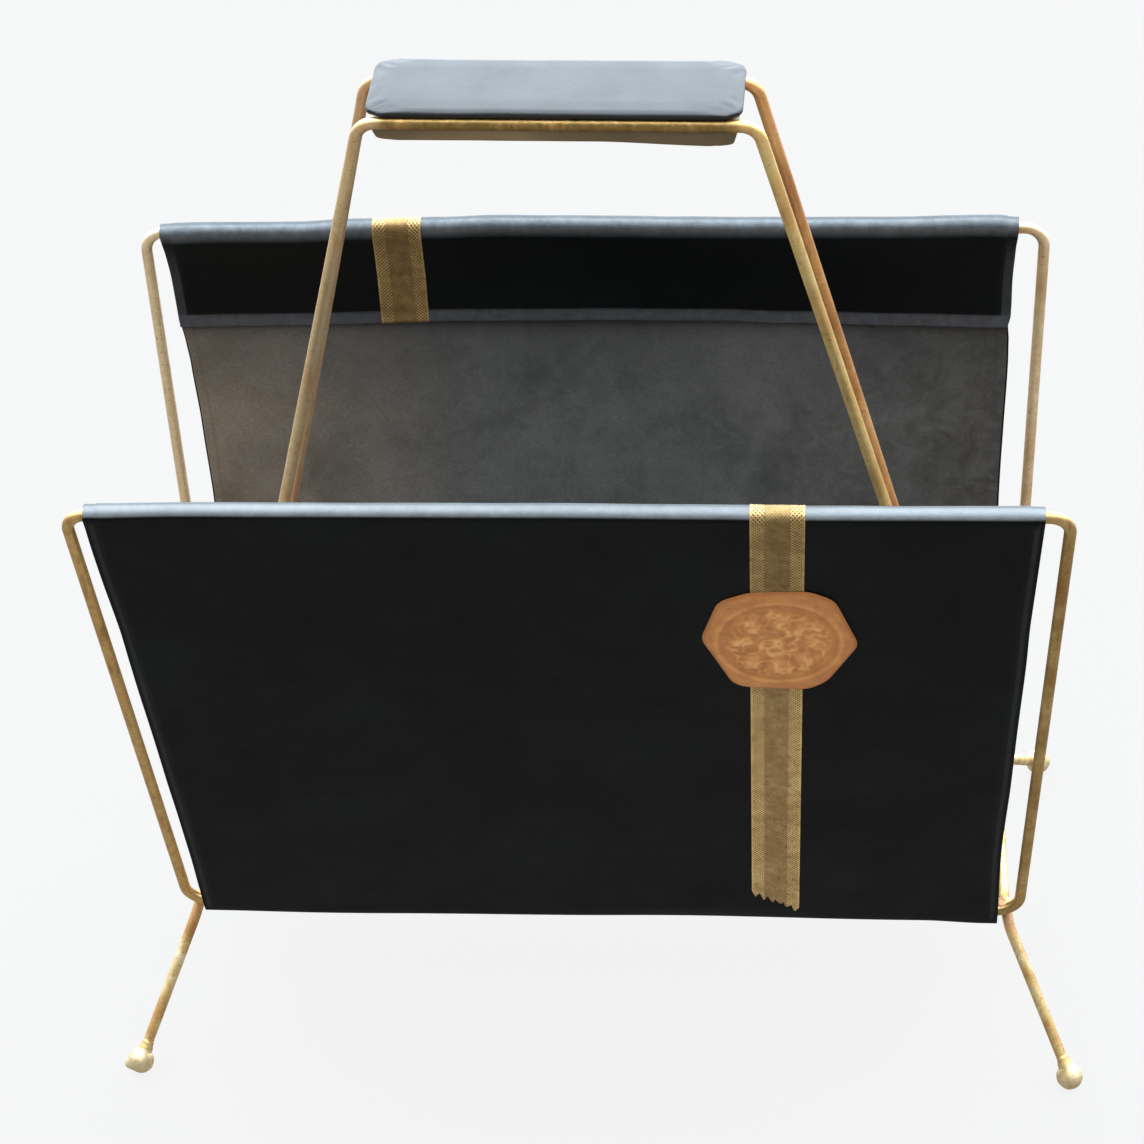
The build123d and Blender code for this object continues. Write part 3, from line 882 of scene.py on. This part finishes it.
def build_seal(front):
    """An embossed disc on the ribbon."""
    turn = 1 if front else -1
    middle = distance_of(SEAL_DROP, front)
    centre = on_cover(middle, turn * RIBBON_X, SEAL_LIFT)
    i, _ = section_at(middle)
    out = Vector((0, *NORMALS[i]))
    across = Vector((turn, 0, 0))
    up = out.cross(across)
    rings, spokes = 66, 216
    thick, carve = 0.65 * MM, 0.75 * MM
    relief = [seal_relief(0, 0, 0)]
    verts = [centre + out * (thick + carve * relief[0])]
    reach = [(angle, seal_reach(angle)) for angle in turns(spokes)]
    for r in range(1, rings + 1):
        share = r / rings
        for angle, whole in reach:
            far = whole * share
            x, y = far * math.cos(angle), far * math.sin(angle)
            height = seal_relief(x / MM, y / MM, share)
            dome = 1 - smoothstep((share - 0.955) / 0.045) * 0.85
            verts.append(centre + across * x + up * y + out * (thick + carve * height) * dome)
            relief.append(height)
    for angle, whole in reach:
        far = whole * 1.002
        verts.append(centre + across * far * math.cos(angle) + up * far * math.sin(angle))
        relief.append(0.1)
    faces = [(0, 1 + s, 1 + (s + 1) % spokes) for s in range(spokes)]
    faces += grid(rings + 1, spokes, closed=True, first=1)
    faces.append(tuple(1 + rings * spokes + s for s in reversed(range(spokes))))
    piece = mesh_piece("front_seal_disc" if front else "rear_seal_disc", verts, faces, [COPPER])
    layer = piece.data.attributes.new("relief", "FLOAT", "POINT")
    layer.data.foreach_set("value", relief)
    bpy.context.view_layer.update()
    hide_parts("front_seal" if front else "rear_seal")


for front in (True, False):
    build_seal(front)


# ------------ the grip
GRIP_TWIST = math.radians(-1.7)  # the grip is turned a little about Z
GRIP_OFF = -1.2 * MM        # and towards the left
GRIP_SHIFT = 3.4 * MM       # and reaches further past the rear wire
VOXEL = 1.0 * MM
PRESSURE = 4
SWELL_FRAMES = 20
SWELL = 0.4 * MM            # most that the covering may rise


def pad_outline(half_x, half_y, corner, count=120):
    """Plan outline of a pad, a rectangle with round corners."""
    points = []
    for angle in (2 * math.pi * (k + 0.5) / count for k in range(count)):
        c, s = math.cos(angle), math.sin(angle)
        reach = min(half_x / max(abs(c), 1e-9), half_y / max(abs(s), 1e-9))
        x, y = c * reach, s * reach
        middle = Vector((
            max(corner - half_x, min(half_x - corner, x)),
            max(corner - half_y, min(half_y - corner, y))))
        away = Vector((x, y)) - middle
        if away.length > corner:
            away = away.normalized() * corner
        points.append(middle + away)
    return points


def swell(piece, held):
    """Blow the covering up a little; points for which held(co) is true stay."""
    start = [v.co.copy() for v in piece.data.vertices]
    group = piece.vertex_groups.new(name="held")
    group.add([i for i, co in enumerate(start) if held(co)], 1.0, "ADD")
    cloth = piece.modifiers.new("cloth", "CLOTH").settings
    cloth.use_pressure = True
    cloth.uniform_pressure_force = PRESSURE
    cloth.effector_weights.gravity = 0
    cloth.vertex_group_mass = "held"
    scene = bpy.context.scene
    for frame_number in range(1, SWELL_FRAMES + 1):
        scene.frame_set(frame_number)
    apply_modifiers(piece)
    scene.frame_set(1)
    piece.vertex_groups.clear()
    for vertex, before in zip(piece.data.vertices, start):
        step = vertex.co - before
        if step.length > SWELL:
            step *= SWELL / step.length
        vertex.co = before + step


def build_pad(name, node, size, corner, crown, chamfer, droop, material, upper, fuller=0.0):
    """A leatherette-covered pad that lies level against the handle wires. Its outer
    face is crowned, its ends slope in by the chamfer, its right end droops, and it is
    fuller than the plain solid it covers."""
    low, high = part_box(node)
    half_x, half_y = size[0] / 2 * MM, size[1] / 2 * MM
    inner, outer = (low.z, high.z) if upper else (high.z, low.z)
    sign = 1 if upper else -1
    outer += sign * fuller
    deep = abs(outer - inner)
    levels = (                      # inset of the outline and height above the inner face
        (0.35 * MM, 0.0), (0.0, 0.12 * deep), (0.0, 0.60 * deep),
        (0.20 * MM, 0.84 * deep), (0.90 * MM, deep),
    )
    verts = [Vector((0, 0, inner))]
    for inset, height in levels:
        slope = chamfer * height / deep
        for p in pad_outline(half_x - inset - slope, half_y - inset, corner):
            verts.append(Vector((p.x, p.y, inner + sign * height)))
    count = (len(verts) - 1) // len(levels)
    verts.append(Vector((0, 0, outer)))
    last = 1 + (len(levels) - 1) * count
    faces = [(0, 1 + (k + 1) % count, 1 + k) for k in range(count)]
    faces += grid(len(levels), count, closed=True, first=1)
    faces += [(len(verts) - 1, last + k, last + (k + 1) % count) for k in range(count)]
    if not upper:
        faces = flipped(faces)
    piece = mesh_piece(name, verts, faces, [material])
    remesh = piece.modifiers.new("remesh", "REMESH")
    remesh.mode = "VOXEL"
    remesh.voxel_size = VOXEL
    remesh.use_smooth_shade = True
    apply_modifiers(piece)
    swell(piece, lambda co: abs(co.z - inner) < 0.35 * deep)
    for vertex in piece.data.vertices:
        co = vertex.co
        share = smoothstep((abs(co.z - inner) / deep - 0.5) * 2)
        edge = min(half_x - abs(co.x), half_y - abs(co.y)) / (9 * MM)
        dome = crown * (smoothstep(edge) - 1) + 0.14 * MM * rough((co.x, co.y, sign), 0.020, 4.0)
        co.z += sign * share * (dome + droop * smoothstep((co.x - 0.2 * half_x) / (0.7 * half_x)))
    smooth = piece.modifiers.new("smooth", "SUBSURF")
    smooth.levels = 1
    apply_modifiers(piece)
    turn = Matrix.Translation((GRIP_OFF, GRIP_SHIFT, 0)) @ Matrix.Rotation(GRIP_TWIST, 4, "Z")
    piece.data.transform(turn)
    for polygon in piece.data.polygons:
        polygon.use_smooth = True
    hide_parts(node)


build_pad(
    "grip_top_pad", "grip_top_cover", (147.2, 39.6), corner=6.2 * MM, crown=0.4 * MM,
    chamfer=0.0, droop=0.0, material=GRIP, upper=True)
build_pad(
    "grip_base_pad", "grip_base_cover", (144.0, 37.0), corner=2.5 * MM, crown=0.2 * MM,
    chamfer=1.7 * MM, droop=1.6 * MM, material=GRIP_BASE, upper=False, fuller=1.5 * MM)


# ------------ feet and braze
NUB_ON = "front_left_ball"          # a drip of metal was left on one ball
NUB_AT = Vector((-0.96, -0.20, -0.20)).normalized()
NUB = 2.0 * MM
FLARE = (                   # heights above a ball and thickness round the wire
    (4.6 * MM, 0.04 * MM), (3.2 * MM, 0.14 * MM), (1.6 * MM, 0.38 * MM), (0.2 * MM, 0.85 * MM),
)
CORNER_BEAD = (4.2 * MM, 4.6 * MM, 4.0 * MM)
HANDLE_BEAD = (5.4 * MM, 6.4 * MM, 5.2 * MM)


def build_foot(name, node, side, end):
    """A cast ball; the leg flares a little where it enters."""
    low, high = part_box(node)
    centre = Vector(((low.x + high.x) / 2, (low.y + high.y) / 2, high.z - FOOT_RADIUS))
    bend = Vector((side * LEG_BEND.x, end * LEG_BEND.y, LEG_BEND.z))
    axis = (bend - centre).normalized()
    across = axis.orthogonal().normalized()
    third = axis.cross(across)
    rows, cols = 40, 40
    around = [across * math.cos(turn) + third * math.sin(turn) for turn in turns(cols)]
    verts = []
    for height, thick in FLARE:
        for out in around:
            lip = height * (1 + 0.10 * rough(out, 0.9, 2.0 + side + end))
            verts.append(centre + axis * (FOOT_RADIUS + lip) + out * (WIRE + thick))
    collar = math.asin((WIRE + 0.9 * MM) / FOOT_RADIUS)
    for r in range(rows + 1):
        polar = collar + (math.pi - collar) * r / rows
        for out in around:
            direction = axis * math.cos(polar) + out * math.sin(polar)
            dent = 0.22 * MM * rough(direction, 0.55, 1.0 + side + 3 * end)
            if name == NUB_ON:
                dent += NUB * math.exp(-((direction - NUB_AT).length / 0.42) ** 2)
            point = centre + direction * (FOOT_RADIUS - 0.1 * MM + dent)
            point.z = max(point.z, 0.0)
            verts.append(point)
    faces = grid(rows + 1 + len(FLARE), cols, closed=True)
    picks = [1 if k < (len(FLARE) - 1) * cols else 0 for k in range(len(faces))]
    faces.append(tuple(reversed(range(cols))))
    picks.append(1)
    piece = mesh_piece(name, verts, flipped(faces), [FOOT_BRASS, LEG_BRASS], picks)
    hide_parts(node)


def build_bead(name, node, radii, seed):
    """A lumpy bead of braze."""
    low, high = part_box(node)
    centre = (low + high) / 2
    rows, cols = 26, 34
    verts = [centre + Vector((0, 0, radii[2]))]
    for r in range(1, rows):
        polar = math.pi * r / rows
        for turn in turns(cols):
            flat = math.sin(polar)
            d = Vector((flat * math.cos(turn), flat * math.sin(turn), math.cos(polar)))
            size = 1 + 0.14 * rough(d, 0.7, seed) + 0.05 * rough(d, 0.25, seed)
            verts.append(centre + Vector((d.x * radii[0], d.y * radii[1], d.z * radii[2])) * size)
    verts.append(centre - Vector((0, 0, radii[2])))
    faces = [(0, 1 + c, 1 + (c + 1) % cols) for c in range(cols)]
    faces += grid(rows - 1, cols, closed=True, first=1)
    last = 1 + (rows - 2) * cols
    faces += [(last + c, len(verts) - 1, last + (c + 1) % cols) for c in range(cols)]
    piece = mesh_piece(name, verts, faces, [BRAZE])
    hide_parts(node)


for side, side_name in ((-1, "left"), (1, "right")):
    for end, end_name in ((-1, "front"), (1, "rear")):
        build_foot(f"{end_name}_{side_name}_ball", f"{end_name}_{side_name}_foot", side, end)
        build_bead(f"{end_name}_{side_name}_bead", f"{end_name}_{side_name}_braze",
                   CORNER_BEAD, side + 3 * end)
    build_bead(f"{side_name}_handle_bead", f"{side_name}_handle_braze", HANDLE_BEAD, 7 * side)


# ------------ floor, light, camera
FLOOR_GLOW = 0.866
SPAN = 8.0                  # half width of the floor


def floor_material():
    """Pale floor that glows softly, so that only a faint shadow shows on it."""
    m = Nodes("pale_floor")
    shades = [(0.3, (0.018, 0.0177, 0.0174)), (0.7, (0.020, 0.0197, 0.0193))]
    colour = m.ramp(m.noise(1.5, 2, 0.4), shades)
    return m.finish(colour, 0.9, settings={
        "Specular IOR Level": 0.0, "Emission Color": (1, 1, 1, 1), "Emission Strength": FLOOR_GLOW})


floor_mesh = bpy.data.meshes.new("floor")
floor_mesh.from_pydata(
    [(-SPAN, -SPAN, 0), (SPAN, -SPAN, 0), (SPAN, SPAN, 0), (-SPAN, SPAN, 0)], [], [(0, 1, 2, 3)])
floor_mesh.materials.append(floor_material())
floor = bpy.data.objects.new("floor", floor_mesh)
floor.visible_glossy = False
bpy.context.scene.collection.objects.link(floor)

SKY_SCALE = 10.0
SKY_HEIGHT = math.radians(46)  # of the brightest part, above the back horizon
SKY = (                     # share of the way from its opposite to it
    (0.00, (0.41, 0.40, 0.38)), (0.50, (0.35, 0.35, 0.35)), (0.62, (0.80, 0.85, 0.90)),
    (0.80, (4.30, 4.80, 5.30)), (1.00, (6.40, 7.30, 8.10)),
)


def build_sky():
    """A soft dome: dim and warm below and in front, bright and cool above and behind."""
    world = bpy.data.worlds.new("soft_dome")
    world.use_nodes = True
    nodes, link = world.node_tree.nodes, world.node_tree.links.new
    place = nodes.new("ShaderNodeTexCoord")
    toward = nodes.new("ShaderNodeVectorMath")
    toward.operation = "DOT_PRODUCT"
    toward.inputs[1].default_value = (0, math.cos(SKY_HEIGHT), math.sin(SKY_HEIGHT))
    share = nodes.new("ShaderNodeMapRange")
    share.inputs["From Min"].default_value = -1
    ramp = nodes.new("ShaderNodeValToRGB")
    fill_ramp(ramp, [(at, tuple(c / SKY_SCALE for c in colour)) for at, colour in SKY])
    link(place.outputs["Generated"], toward.inputs[0])
    link(toward.outputs["Value"], share.inputs["Value"])
    link(share.outputs[0], ramp.inputs["Fac"])
    link(ramp.outputs["Color"], nodes["Background"].inputs["Color"])
    nodes["Background"].inputs["Strength"].default_value = SKY_SCALE
    bpy.context.scene.world = world


build_sky()
bpy.context.scene.view_settings.view_transform = "Standard"

CAMERA_AT = Vector((0.0990, -0.9759, 1.1220))
YAW, PITCH, ROLL = math.radians(-6.24), math.radians(42.2), math.radians(-3.957)
LENS = 93.57
SENSOR = 36


def build_camera():
    """The photograph's viewpoint."""
    forward = Vector((
        math.sin(YAW) * math.cos(PITCH), math.cos(YAW) * math.cos(PITCH), -math.sin(PITCH)))
    level = Vector((math.cos(YAW), -math.sin(YAW), 0))
    upright = level.cross(forward)
    right = level * math.cos(ROLL) + upright * math.sin(ROLL)
    above = upright * math.cos(ROLL) - level * math.sin(ROLL)
    data = bpy.data.cameras.new("camera")
    data.lens = LENS
    data.sensor_width = SENSOR
    camera = bpy.data.objects.new("camera", data)
    turn = Matrix((right, above, -forward)).transposed().to_4x4()
    camera.matrix_world = Matrix.Translation(CAMERA_AT) @ turn
    bpy.context.scene.collection.objects.link(camera)
    bpy.context.scene.camera = camera


build_camera()
